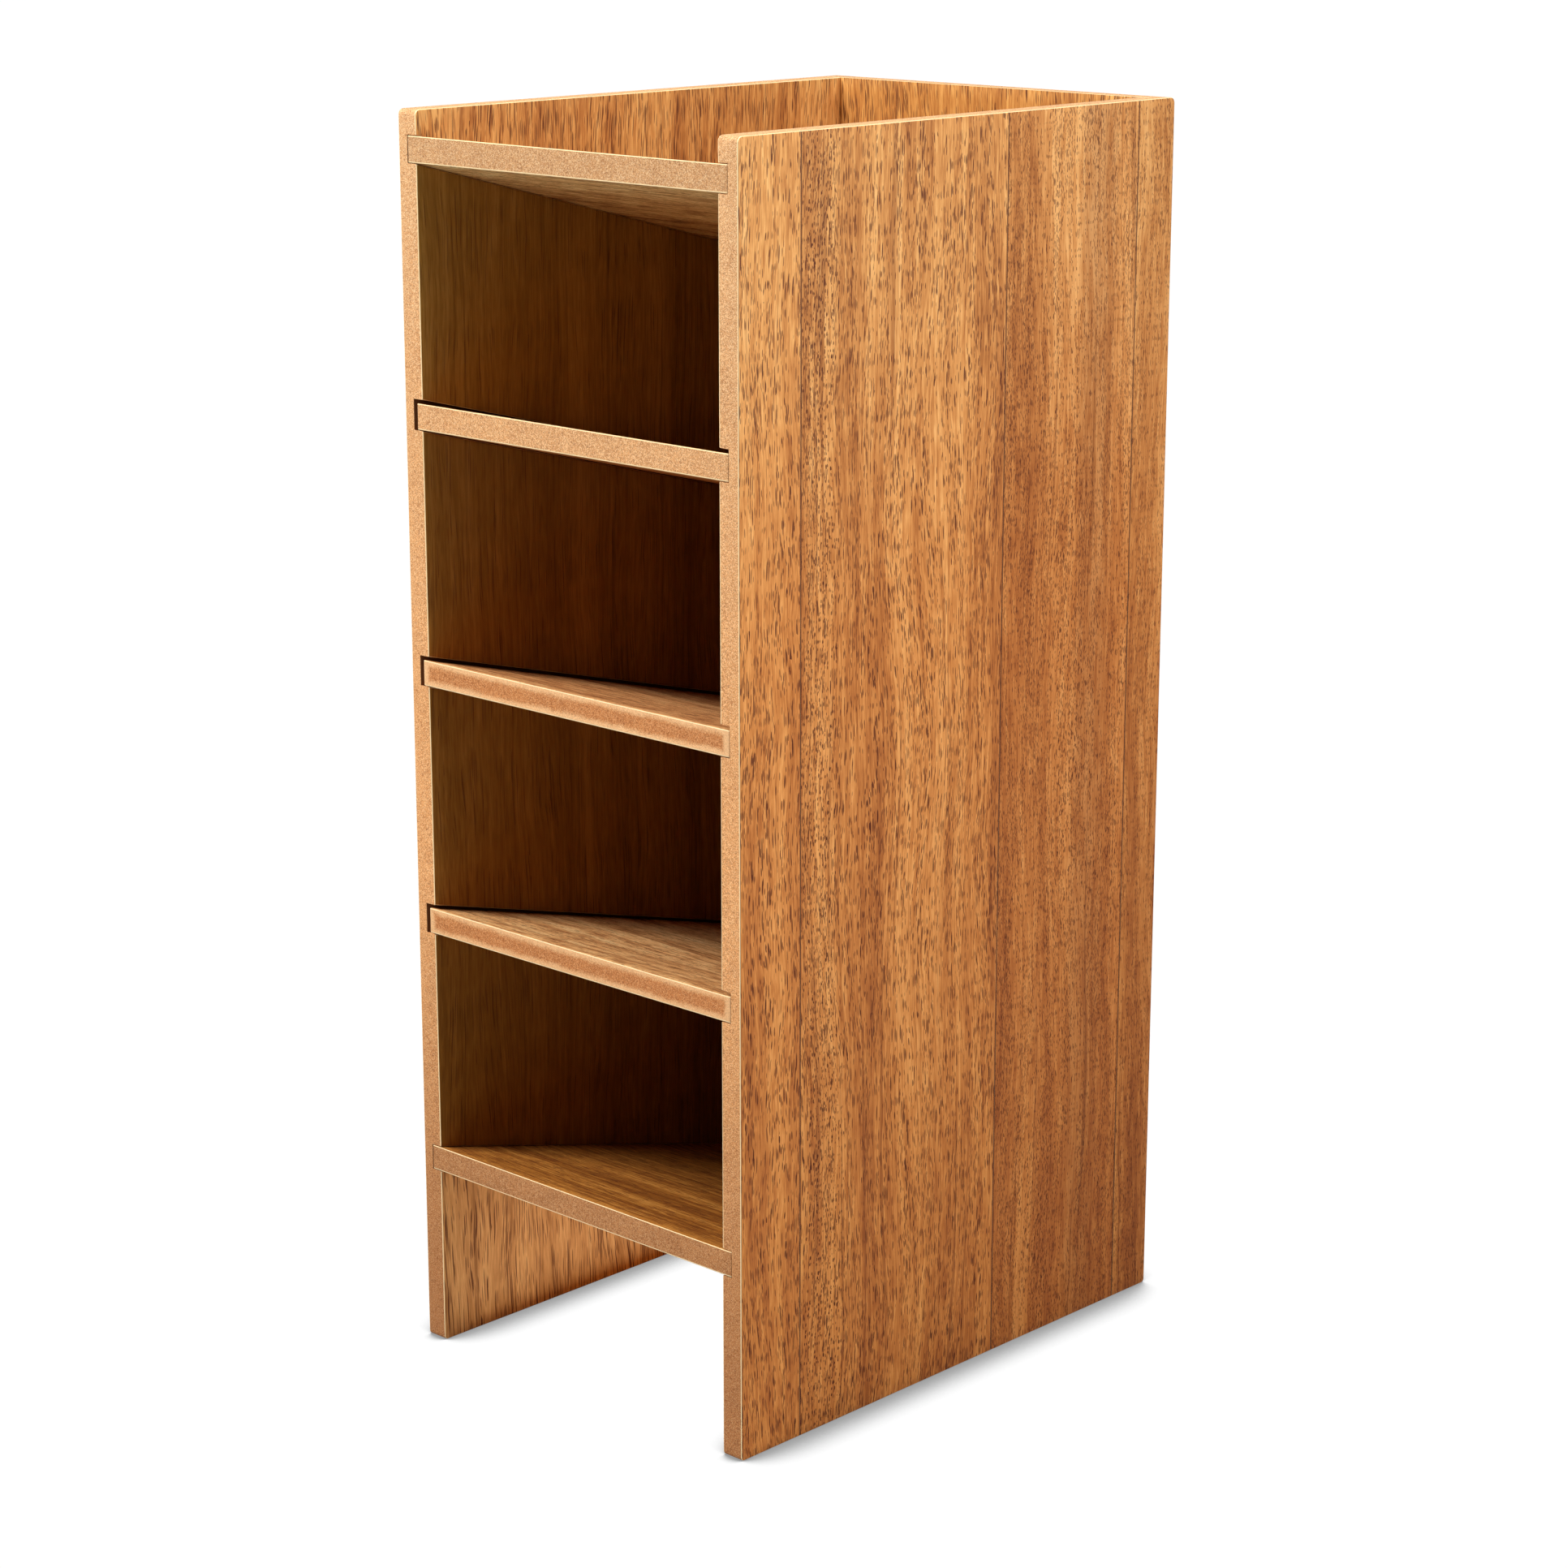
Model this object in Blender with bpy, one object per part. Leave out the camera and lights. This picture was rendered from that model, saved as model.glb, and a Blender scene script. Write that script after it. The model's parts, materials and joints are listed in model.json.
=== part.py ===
"""Magazine rack: an open-fronted case of veneered board with five shelves in sloping grooves.

The case is two sides and a back. Every board is a fibreboard core with a thin wood
veneer glued on each face, so core and veneers are separate pieces. The top and bottom
shelves are glued tight in their grooves. The three shelves between them lie loose in
wider grooves and pull out forwards, up the slope.

Metres, +Z up, front towards -Y, origin at the middle of the footprint on the floor.
"""
import math

import bmesh
import bpy
from mathutils import Matrix

# ---- Driving dimensions -------------------------------------------------------------
WIDTH = 0.240            # outside, left to right
DEPTH = 0.330            # outside, front to back
HEIGHT = 0.667           # floor to top edge
CORE = 0.012             # fibreboard core
VENEER = 0.0006          # face veneer
GLUE_LINE = 0.0001       # between core and veneer
SHELF_SLOPE = math.radians(14.5)   # shelves fall towards the back
GROOVE_PITCH = 0.1354    # between groove centres, measured up the front edge
FIRST_GROOVE = 0.1055    # height of the lowest groove's centre at the front edge
LOOSE_PLAY = 0.0020      # free height over a loose shelf
END_PLAY = 0.0025        # free width at a loose shelf's left end
RUNNING_GAP = 0.0003     # under and beside a loose shelf
JOINT_GAP = 0.0002       # in a glued joint
TOP_CORNER = 0.0030      # radius of the sides' top corners
FOOT_CORNER = 0.0022     # radius of the sides' bottom corners
FLOOR_TRIM = 0.0003      # veneers stop this far above the floor
PROUD = 0.002            # cutters run this far past what they cut
ARC_STEPS = 5            # segments in a rounded corner
LEAF_JOINTS = (0.043, 0.195, 0.300)   # joints in a side's outer veneer, from the front edge
LEAF_GAP = 0.0001        # between neighbouring veneer leaves
WELD = 0.00001           # vertices closer than this are one

# Materials: base colour and roughness.
MATERIALS = {
    "fibreboard": ((0.70, 0.39, 0.18), 0.75),
    "case_veneer": ((0.52, 0.21, 0.065), 0.42),
    "shelf_veneer": ((0.46, 0.19, 0.06), 0.42),
}

# ---- Worked out from them -----------------------------------------------------------
BOARD = CORE + 2 * (VENEER + GLUE_LINE)
GROOVE_DEPTH = BOARD / 2
FALL = math.tan(SHELF_SLOPE)                 # drop per metre towards the back
UPRIGHT = 1 / math.cos(SHELF_SLOPE)          # thickness measured straight up
SHELF_HEIGHT = BOARD * UPRIGHT               # height of a shelf's upright front edge
FRONT = -DEPTH / 2
REAR = DEPTH / 2
BACK_FACE = REAR - BOARD                     # inner face of the back panel
INNER = WIDTH / 2 - BOARD                    # inner face of a side, from the middle
GROOVE_END = INNER + GROOVE_DEPTH            # bottom of a groove, from the middle
TIGHT_GROOVE = SHELF_HEIGHT + 2 * JOINT_GAP
LOOSE_GROOVE = SHELF_HEIGHT + RUNNING_GAP + LOOSE_PLAY

# Shelves from the floor up: name, and whether it lies loose in its groove.
SHELVES = (("bottom_shelf", False), ("lower_shelf", True), ("middle_shelf", True),
           ("upper_shelf", True), ("top_shelf", False))

parts = None
cutters = None
materials = {}


def clear_scene():
    for item in list(bpy.data.objects):
        bpy.data.objects.remove(item, do_unlink=True)


def new_collection(name):
    collection = bpy.data.collections.new(name)
    bpy.context.scene.collection.children.link(collection)
    return collection


def new_material(name, color, roughness):
    material = bpy.data.materials.new(name)
    material.use_nodes = True
    shader = material.node_tree.nodes["Principled BSDF"]
    shader.inputs["Base Color"].default_value = (*color, 1.0)
    shader.inputs["Roughness"].default_value = roughness
    shader.inputs["Metallic"].default_value = 0.0
    material.diffuse_color = (*color, 1.0)
    return material


def groove_centre(index):
    return FIRST_GROOVE + index * GROOVE_PITCH


def groove_height(index):
    return LOOSE_GROOVE if SHELVES[index][1] else TIGHT_GROOVE


def groove_floor(index):
    """Height of a groove's lower edge at the front of the rack."""
    return groove_centre(index) - groove_height(index) / 2


def groove_roof(index):
    """Height of a groove's upper edge at the front of the rack."""
    return groove_centre(index) + groove_height(index) / 2


# ---- Shape helpers ------------------------------------------------------------------
def finish_object(name, mesh, material, collection):
    item = bpy.data.objects.new(name, mesh)
    if material is not None:
        mesh.materials.append(materials[material])
    collection.objects.link(item)
    return item


def box_mesh(name, size, middle, fall=0.0):
    """A box about `middle`; with a fall, it leans down along +Y and keeps upright ends."""
    bm = bmesh.new()
    bmesh.ops.create_cube(bm, size=1.0)
    bmesh.ops.transform(bm, matrix=Matrix.Diagonal((*size, 1.0)), verts=bm.verts)
    bmesh.ops.transform(bm, matrix=Matrix.Translation(middle), verts=bm.verts)
    lean = Matrix.Identity(4)
    lean[2][1] = -fall
    bmesh.ops.transform(bm, matrix=lean, verts=bm.verts)
    mesh = bpy.data.meshes.new(name)
    bm.to_mesh(mesh)
    bm.free()
    return mesh


def fillet(corner, before, after, radius):
    """Points of the arc that rounds a square corner of an outline."""
    def toward(point):
        gap = math.hypot(point[0] - corner[0], point[1] - corner[1])
        return [(point[i] - corner[i]) / gap for i in (0, 1)]

    first, second = toward(before), toward(after)
    centre = [corner[i] + radius * (first[i] + second[i]) for i in (0, 1)]
    points = []
    for step in range(ARC_STEPS + 1):
        angle = math.pi / 2 * step / ARC_STEPS
        points.append(tuple(centre[i] - radius * (second[i] * math.cos(angle)
                                                  + first[i] * math.sin(angle))
                            for i in (0, 1)))
    return points


def rounded(outline, radii):
    """The outline with an arc in place of each corner that has a radius."""
    points = []
    for index, corner in enumerate(outline):
        if radii[index]:
            before = outline[index - 1]
            after = outline[(index + 1) % len(outline)]
            points += fillet(corner, before, after, radii[index])
        else:
            points.append(corner)
    return points


def upright_sheet(name, outline, middle_x, thickness, material):
    """A flat sheet standing across X: a closed outline in (Y, Z), made a welded mesh."""
    curve = bpy.data.curves.new(name + "_outline", "CURVE")
    curve.dimensions = "2D"
    curve.fill_mode = "BOTH"
    curve.extrude = thickness / 2
    spline = curve.splines.new("POLY")
    spline.points.add(len(outline) - 1)
    for point, (y, z) in zip(spline.points, outline):
        point.co = (y, z, 0.0, 1.0)
    spline.use_cyclic_u = True
    flat = bpy.data.objects.new(name + "_outline", curve)
    flat.location = (middle_x, 0.0, 0.0)
    flat.rotation_euler = (math.pi / 2, 0.0, math.pi / 2)
    parts.objects.link(flat)
    bpy.context.view_layer.update()
    evaluated = flat.evaluated_get(bpy.context.evaluated_depsgraph_get())
    mesh = bpy.data.meshes.new_from_object(evaluated)
    mesh.name = name
    bm = bmesh.new()
    bm.from_mesh(mesh)
    bmesh.ops.remove_doubles(bm, verts=bm.verts, dist=WELD)
    bmesh.ops.recalc_face_normals(bm, faces=bm.faces)
    bm.to_mesh(mesh)
    bm.free()
    item = finish_object(name, mesh, material, parts)
    item.matrix_world = flat.matrix_world.copy()
    bpy.data.objects.remove(flat, do_unlink=True)
    return item


def add_cutter(name, mesh):
    cutter = finish_object(name, mesh, None, cutters)
    cutter.hide_render = True
    cutter.display_type = "WIRE"
    return cutter


def cut(item, cutter):
    modifier = item.modifiers.new(cutter.name, "BOOLEAN")
    modifier.operation = "DIFFERENCE"
    modifier.solver = "EXACT"
    modifier.object = cutter


# ---- The two sides ------------------------------------------------------------------
def side_layers(hand):
    """Middles of a side's three layers along X: outer veneer, core, inner veneer."""
    outer = WIDTH / 2 - VENEER / 2
    core = WIDTH / 2 - VENEER - GLUE_LINE - CORE / 2
    inner = INNER + VENEER / 2
    return hand * outer, hand * core, hand * inner


def side_outline():
    """Profile of a side's core in (Y, Z), with its top and bottom corners eased."""
    corners = [(FRONT, 0.0), (REAR, 0.0), (REAR, HEIGHT), (FRONT, HEIGHT)]
    return rounded(corners, (FOOT_CORNER, FOOT_CORNER, TOP_CORNER, TOP_CORNER))


def groove_cutter(side, hand, index):
    length = DEPTH + 2 * PROUD
    width = GROOVE_DEPTH + PROUD
    middle_x = hand * (GROOVE_END - width / 2)
    centre = groove_centre(index) - FALL * DEPTH / 2
    name = f"{side}_groove_{index + 1}_cutter"
    size = (width, length, groove_height(index))
    return add_cutter(name, box_mesh(name, size, (middle_x, 0.0, centre), FALL))


def rebate_cutter(side, hand):
    """Takes the inner half of a side's rear edge, where the back panel sits."""
    width = GROOVE_DEPTH + PROUD
    length = BOARD + JOINT_GAP + PROUD
    middle = (hand * (GROOVE_END - width / 2), REAR + PROUD - length / 2, HEIGHT / 2)
    name = f"{side}_rebate_cutter"
    return add_cutter(name, box_mesh(name, (width, length, HEIGHT + 2 * PROUD), middle))


def inner_veneer_outlines():
    """Outlines in (Y, Z) of the veneer left between the grooves, from the floor up."""
    rear = BACK_FACE - JOINT_GAP

    def edge(height, y):
        return (y, height - FALL * (y - FRONT))

    outlines = []
    for index in range(len(SHELVES) + 1):
        lowest, highest = index == 0, index == len(SHELVES)
        if lowest:
            bottom = [(FRONT, FLOOR_TRIM), (rear, FLOOR_TRIM)]
        else:
            roof = groove_roof(index - 1)
            bottom = [edge(roof, FRONT), edge(roof, rear)]
        if highest:
            top = [(rear, HEIGHT), (FRONT, HEIGHT)]
        else:
            floor = groove_floor(index)
            top = [edge(floor, rear), edge(floor, FRONT)]
        radii = (FOOT_CORNER if lowest else 0, 0, 0, TOP_CORNER if highest else 0)
        outlines.append(rounded(bottom + top, radii))
    return outlines


def outer_leaf_outlines():
    """Outlines in (Y, Z) of the outer veneer's leaves, laid edge to edge from the front."""
    joints = [FRONT + distance for distance in LEAF_JOINTS]
    starts = [FRONT] + [joint + LEAF_GAP / 2 for joint in joints]
    ends = [joint - LEAF_GAP / 2 for joint in joints] + [REAR]
    outlines = []
    for start, end in zip(starts, ends):
        corners = [(start, FLOOR_TRIM), (end, FLOOR_TRIM), (end, HEIGHT), (start, HEIGHT)]
        front, rear = start == FRONT, end == REAR
        radii = (FOOT_CORNER * front, FOOT_CORNER * rear, TOP_CORNER * rear,
                 TOP_CORNER * front)
        outlines.append(rounded(corners, radii))
    return outlines


def build_side(side, hand):
    outer_x, core_x, inner_x = side_layers(hand)
    core = upright_sheet(f"{side}_side_core", side_outline(), core_x, CORE, "fibreboard")
    for index in range(len(SHELVES)):
        cut(core, groove_cutter(side, hand, index))
    cut(core, rebate_cutter(side, hand))
    for number, outline in enumerate(outer_leaf_outlines(), start=1):
        upright_sheet(f"{side}_side_outer_leaf_{number}", outline, outer_x, VENEER,
                      "case_veneer")
    for number, outline in enumerate(inner_veneer_outlines(), start=1):
        upright_sheet(f"{side}_side_inner_veneer_{number}", outline, inner_x, VENEER,
                      "case_veneer")


# ---- The back panel -----------------------------------------------------------------
def ease_top_rear(mesh, radius):
    """Rounds the one long edge at the top of the rear face."""
    bm = bmesh.new()
    bm.from_mesh(mesh)
    rear = max(vert.co.y for vert in bm.verts)
    top = max(vert.co.z for vert in bm.verts)
    edges = [edge for edge in bm.edges
             if all(vert.co.y == rear and vert.co.z == top for vert in edge.verts)]
    bmesh.ops.bevel(bm, geom=edges, offset=radius, segments=ARC_STEPS, profile=0.5,
                    affect="EDGES")
    bm.to_mesh(mesh)
    bm.free()


def build_back():
    width = 2 * (GROOVE_END - JOINT_GAP)
    core_y = REAR - VENEER - GLUE_LINE - CORE / 2
    core_mesh = box_mesh("back_core", (width, CORE, HEIGHT), (0.0, core_y, HEIGHT / 2))
    ease_top_rear(core_mesh, TOP_CORNER - VENEER)
    finish_object("back_core", core_mesh, "fibreboard", parts)
    # The rear veneer stops where the eased top edge begins.
    layers = (("back_inner_veneer", BACK_FACE + VENEER / 2, HEIGHT),
              ("back_outer_veneer", REAR - VENEER / 2, HEIGHT - TOP_CORNER))
    for name, middle_y, top in layers:
        tall = top - FLOOR_TRIM
        middle = (0.0, middle_y, FLOOR_TRIM + tall / 2)
        finish_object(name, box_mesh(name, (width, VENEER, tall), middle), "case_veneer",
                      parts)


# ---- The shelves --------------------------------------------------------------------
def shelf_span(loose):
    """Left and right ends of a shelf along X."""
    if loose:
        return -GROOVE_END + END_PLAY, GROOVE_END - RUNNING_GAP
    return -GROOVE_END + JOINT_GAP, GROOVE_END - JOINT_GAP


def shelf_underside(index):
    """Height of a shelf's lower front corner."""
    gap = RUNNING_GAP if SHELVES[index][1] else JOINT_GAP
    return groove_floor(index) + gap


def shelf_holder(index):
    """An empty at the shelf's lower front edge, on the line that the shelf slides along."""
    name, loose = SHELVES[index]
    left, right = shelf_span(loose)
    holder = bpy.data.objects.new(f"{name}_slide", None)
    holder.location = ((left + right) / 2, FRONT, shelf_underside(index))
    holder.empty_display_size = BOARD
    parts.objects.link(holder)
    return holder


def build_shelf(index):
    name, loose = SHELVES[index]
    left, right = shelf_span(loose)
    length = BACK_FACE - RUNNING_GAP - FRONT
    holder = shelf_holder(index)
    layers = (("under_veneer", VENEER, 0.0, "shelf_veneer"),
              ("core", CORE, VENEER + GLUE_LINE, "fibreboard"),
              ("top_veneer", VENEER, VENEER + 2 * GLUE_LINE + CORE, "shelf_veneer"))
    for layer, thickness, base, material in layers:
        size = (right - left, length, thickness * UPRIGHT)
        middle = (0.0, length / 2, (base + thickness / 2) * UPRIGHT)
        mesh = box_mesh(f"{name}_{layer}", size, middle, FALL)
        piece = finish_object(f"{name}_{layer}", mesh, material, parts)
        piece.parent = holder


def main():
    global parts, cutters
    clear_scene()
    parts = new_collection("magazine_rack")
    cutters = new_collection("cutters")
    for name, (color, roughness) in MATERIALS.items():
        materials[name] = new_material(name, color, roughness)
    build_side("left", -1)
    build_side("right", 1)
    build_back()
    for index in range(len(SHELVES)):
        build_shelf(index)
    bpy.context.view_layer.update()


main()
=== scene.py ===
"""Looks of the magazine rack: sanded boards of veneered fibreboard, studio light, camera."""

import json
import math

import bmesh
import bpy
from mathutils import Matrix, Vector, noise

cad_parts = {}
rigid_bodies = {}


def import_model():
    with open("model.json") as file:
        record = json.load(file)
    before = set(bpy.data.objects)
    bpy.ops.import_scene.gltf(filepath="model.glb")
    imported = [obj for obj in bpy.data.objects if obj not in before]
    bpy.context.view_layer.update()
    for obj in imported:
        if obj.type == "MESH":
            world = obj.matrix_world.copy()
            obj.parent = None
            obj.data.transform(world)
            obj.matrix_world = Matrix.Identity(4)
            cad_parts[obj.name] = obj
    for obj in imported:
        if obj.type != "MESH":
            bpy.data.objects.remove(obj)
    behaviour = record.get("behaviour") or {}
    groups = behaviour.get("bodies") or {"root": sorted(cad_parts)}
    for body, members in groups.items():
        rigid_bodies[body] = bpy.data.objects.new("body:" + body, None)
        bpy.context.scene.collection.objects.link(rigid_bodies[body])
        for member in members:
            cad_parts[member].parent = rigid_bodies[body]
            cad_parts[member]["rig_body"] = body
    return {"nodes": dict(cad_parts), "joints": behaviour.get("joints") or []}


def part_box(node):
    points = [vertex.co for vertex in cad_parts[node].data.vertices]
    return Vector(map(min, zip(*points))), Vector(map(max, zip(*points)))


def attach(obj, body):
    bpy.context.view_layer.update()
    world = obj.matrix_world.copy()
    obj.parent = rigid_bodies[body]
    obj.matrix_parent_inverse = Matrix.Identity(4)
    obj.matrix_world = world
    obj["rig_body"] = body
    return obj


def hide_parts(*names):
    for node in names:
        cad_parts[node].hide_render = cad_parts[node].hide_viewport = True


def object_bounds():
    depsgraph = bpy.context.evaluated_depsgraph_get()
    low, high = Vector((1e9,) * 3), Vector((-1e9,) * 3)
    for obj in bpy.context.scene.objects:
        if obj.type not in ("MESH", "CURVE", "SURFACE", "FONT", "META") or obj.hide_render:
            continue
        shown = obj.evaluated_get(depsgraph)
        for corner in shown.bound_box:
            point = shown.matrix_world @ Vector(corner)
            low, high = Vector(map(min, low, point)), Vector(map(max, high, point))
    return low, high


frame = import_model()
CAD_BOX = [list(corner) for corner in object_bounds()]
NODES = frame["nodes"]
SLOPE_AXIS = Vector(frame["joints"][0]["axis"])

X, Y, Z = 0, 1, 2
AXES = (Vector((1, 0, 0)), Vector((0, 1, 0)), Vector((0, 0, 1)))
SHELF_NORMAL = Vector((0.0, SLOPE_AXIS.z, -SLOPE_AXIS.y))

# ---- Sizes, in metres ---------------------------------------------------------------
WELD = 0.00001                   # vertices closer than this are one
ARRIS = 0.00075                  # rounding of a sanded outer edge
MOUTH_ARRIS = 0.00022            # rounding of an edge left by the groove cutter
SHELF_ARRIS = 0.00060            # rounding of a shelf's edges
SLICE = 0.0075                   # spacing of the cuts that let a board be uneven
WOBBLE = 0.00010                 # how far sanding has worn an edge, at most
FACE_WOBBLE = 0.00003            # and a face
FOOT_WEAR = 0.00055              # more of it on the edges that stand on the floor
FOOT_HEIGHT = 0.012              # and how far up that reaches
EDGE_SHARE = 6.0                 # how soon a bent normal counts as an edge
BROAD_WEAR = 31.0                # size of the noise that wears the boards, in mm
FINE_WEAR = 6.0
FLAT_FOLD = math.radians(1.0)    # a flatter fold than this is a leftover of the CAD mesh
EDGE_FOLD = math.radians(40.0)   # a sharper fold than this is an edge to round
CREASE = math.radians(38.0)      # a sharper fold than this is shaded as an edge
STRAIGHT = 0.999                 # cosine within which a normal follows a direction
SHEETS = 6                       # the five grooves cut a side's inner veneer into these
MM = 1000.0                      # patterns are in millimetres


# ---- Boards -------------------------------------------------------------------------
def whole_board(core, normal, push, low, high):
    """The laminated board: its core's solid with the two veneered faces pushed out."""
    bm = bmesh.new()
    bm.from_mesh(NODES[core].data)
    bmesh.ops.remove_doubles(bm, verts=bm.verts, dist=WELD)
    bmesh.ops.dissolve_limit(bm, angle_limit=FLAT_FOLD, verts=bm.verts, edges=bm.edges)
    heights = [vert.co.dot(normal) for vert in bm.verts]
    floor, roof = min(heights), max(heights)
    for vert, height in zip(bm.verts, heights):
        if height < floor + WELD:
            vert.co -= push * low
        elif height > roof - WELD:
            vert.co += push * high
    bmesh.ops.recalc_face_normals(bm, faces=bm.faces)
    return bm


def round_edges(bm, width, steps, chosen):
    """Rounds the convex edges whose two face normals `chosen` accepts."""
    bm.normal_update()
    edges = [edge for edge in bm.edges
             if len(edge.link_faces) == 2 and edge.is_convex
             and edge.calc_face_angle() > EDGE_FOLD
             and chosen(*[face.normal for face in edge.link_faces])]
    bmesh.ops.bevel(bm, geom=edges, offset=width, offset_type="OFFSET", segments=steps,
                    profile=0.5, affect="EDGES", clamp_overlap=False)


def slice_board(bm, axis):
    """Cuts every face along evenly spaced planes, so that the board can be made uneven."""
    places = [vert.co[axis] for vert in bm.verts]
    low, high = min(places), max(places)
    count = int((high - low) / SLICE)
    for step in range(1, count):
        point = AXES[axis] * (low + (high - low) * step / count)
        bmesh.ops.bisect_plane(bm, geom=bm.verts[:] + bm.edges[:] + bm.faces[:], dist=WELD,
                               plane_co=point, plane_no=AXES[axis])


def wear(bm, seed):
    """Moves the surface inwards by a noise: a little on the faces, more along the edges."""
    bm.normal_update()
    moves = []
    for vert in bm.verts:
        if not vert.link_faces:
            continue
        corner = 1.0 - min(abs(face.normal.dot(vert.normal)) for face in vert.link_faces)
        near_floor = max(0.0, 1.0 - (vert.co.z - CAD_BOX[0][Z]) / FOOT_HEIGHT)
        edge_wear = (WOBBLE + FOOT_WEAR * near_floor ** 2) * min(1.0, corner * EDGE_SHARE)
        worn = FACE_WOBBLE + edge_wear
        place = vert.co * MM
        broad = 0.5 + 0.5 * noise.noise(place / BROAD_WEAR + Vector((seed, 0.0, 0.0)))
        fine = noise.noise(place / FINE_WEAR + Vector((0.0, seed, 0.0)))
        amount = 0.6 * broad + 0.2 + 0.2 * fine
        moves.append((vert, vert.normal * (worn * max(0.0, amount))))
    for vert, move in moves:
        vert.co -= move


def part_of(board, cuts):
    """What is left of a board on the far side of every cut (point, normal), closed again."""
    bm = board.copy()
    for point, normal in cuts:
        geometry = bm.verts[:] + bm.edges[:] + bm.faces[:]
        cut = bmesh.ops.bisect_plane(bm, geom=geometry, dist=WELD / 10.0, plane_co=point,
                                     plane_no=normal, clear_inner=True)["geom_cut"]
        rim = [item for item in cut if isinstance(item, bmesh.types.BMEdge)
               and len(item.link_faces) == 1]
        bmesh.ops.edgeloop_fill(bm, edges=rim)
    bmesh.ops.recalc_face_normals(bm, faces=bm.faces)
    return bm


def islands(bm, count):
    """The biggest separate shells of a mesh, from the lowest to the highest."""
    left = set(bm.verts)
    found = []
    while left:
        stack = [left.pop()]
        shell = set(stack)
        while stack:
            for edge in stack.pop().link_edges:
                for vert in edge.verts:
                    if vert in left:
                        left.remove(vert)
                        shell.add(vert)
                        stack.append(vert)
        found.append(shell)
    found = sorted(found, key=len)[-count:]
    return sorted(found, key=lambda shell: sum(v.co.z for v in shell) / len(shell))


def add_piece(node, bm, material):
    """Makes the fine piece that stands for a CAD node, with its body, slot and material."""
    mesh = bpy.data.meshes.new(f"{node}_fine")
    for face in bm.faces:
        face.smooth = True
    for edge in bm.edges:
        edge.smooth = edge.calc_face_angle() < CREASE
    bm.to_mesh(mesh)
    bm.free()
    mesh.materials.append(material)
    piece = bpy.data.objects.new(f"{node}_fine", mesh)
    bpy.context.scene.collection.objects.link(piece)
    body = NODES[node]["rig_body"]
    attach(piece, body)
    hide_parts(node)


def is_flat(normal, axis):
    return abs(normal[axis]) > STRAIGHT


def is_groove(normal):
    """Whether a face slopes as the shelves do."""
    return abs(normal.y) > 0.1 and abs(normal.dot(SHELF_NORMAL)) > STRAIGHT


def between(first, second):
    """Halfway between two places, as the middle of a glue line."""
    return (first + second) / 2.0


def build_side(side, sign):
    """A side panel: sign is -1 for the left one and 1 for the right one."""
    core_low, core_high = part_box(f"{side}_side_core")
    leaf_low, leaf_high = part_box(f"{side}_side_outer_leaf_1")
    sheet_low, sheet_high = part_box(f"{side}_side_inner_veneer_1")
    low = core_low.x - min(leaf_low.x, sheet_low.x)
    high = max(leaf_high.x, sheet_high.x) - core_high.x
    board = whole_board(f"{side}_side_core", AXES[X], AXES[X], low, high)
    round_edges(board, MOUTH_ARRIS, 1, lambda a, b: is_groove(a) != is_groove(b))
    round_edges(board, ARRIS, 3, lambda a, b: is_flat(a, X) != is_flat(b, X)
                and not is_groove(a) and not is_groove(b))
    slice_board(board, Z)
    slice_board(board, Y)
    wear(board, 3.0 + sign)

    outward = AXES[X] * sign
    outer = AXES[X] * (between(core_high.x, leaf_low.x) if sign > 0
                       else between(core_low.x, leaf_high.x))
    inner = AXES[X] * (between(core_low.x, sheet_high.x) if sign > 0
                       else between(core_high.x, sheet_low.x))
    add_piece(f"{side}_side_core", part_of(board, [(outer, -outward), (inner, outward)]),
              fibreboard(f"{side}_side_fibre", 2.0 + sign, grooved=True))
    for number, look in enumerate(LEAVES, 1):
        node = f"{side}_side_outer_leaf_{number}"
        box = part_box(node)
        cuts = [(outer, outward)]
        if number > 1:
            cuts.append((box[0], AXES[Y]))
        if number < len(LEAVES):
            cuts.append((box[1], -AXES[Y]))
        add_piece(node, part_of(board, cuts),
                  veneer(f"{node}_wood", (Y, Z, X), joints=(box[0].y, box[1].y),
                         seed=number * 2.3 + sign * 0.7, **look))
    sheets = part_of(board, [(inner, -outward)])
    # The inner veneer of a side is painted as lit and shaded copies of one wood: a paler lit copy
    # below the bottom shelf and a darker shaded copy in the bays.
    lit_leg_wood, shaded_bay_wood, tray_wood = [
        veneer(f"{side}_side_{place}_wood", (Y, Z, X), seed=17.0 + sign * 1.9, **look)
        for place, look in (("leg", LIT_LEG_WALL), ("bay", SHADED_BAY_WALL), ("tray", TRAY_WALL))]
    woods = [lit_leg_wood] + [shaded_bay_wood] * (SHEETS - 2) + [tray_wood]
    for number, shell in enumerate(islands(sheets, SHEETS), 1):
        sheet = sheets.copy()
        kept = {vert.index for vert in shell}
        sheet.verts.ensure_lookup_table()
        bmesh.ops.delete(sheet, geom=[v for v in sheet.verts if v.index not in kept],
                         context="VERTS")
        add_piece(f"{side}_side_inner_veneer_{number}", sheet, woods[number - 1])
    sheets.free()
    board.free()


def add_layers(board, normal, low_glue, high_glue, nodes, woods, fibre):
    """Cuts a board in three along its glue planes: low veneer, core, high veneer."""
    low_node, core_node, high_node = nodes
    add_piece(low_node, part_of(board, [(low_glue, -normal)]), woods[0])
    add_piece(core_node, part_of(board, [(low_glue, normal), (high_glue, -normal)]), fibre)
    add_piece(high_node, part_of(board, [(high_glue, normal)]), woods[1])
    board.free()


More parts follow.
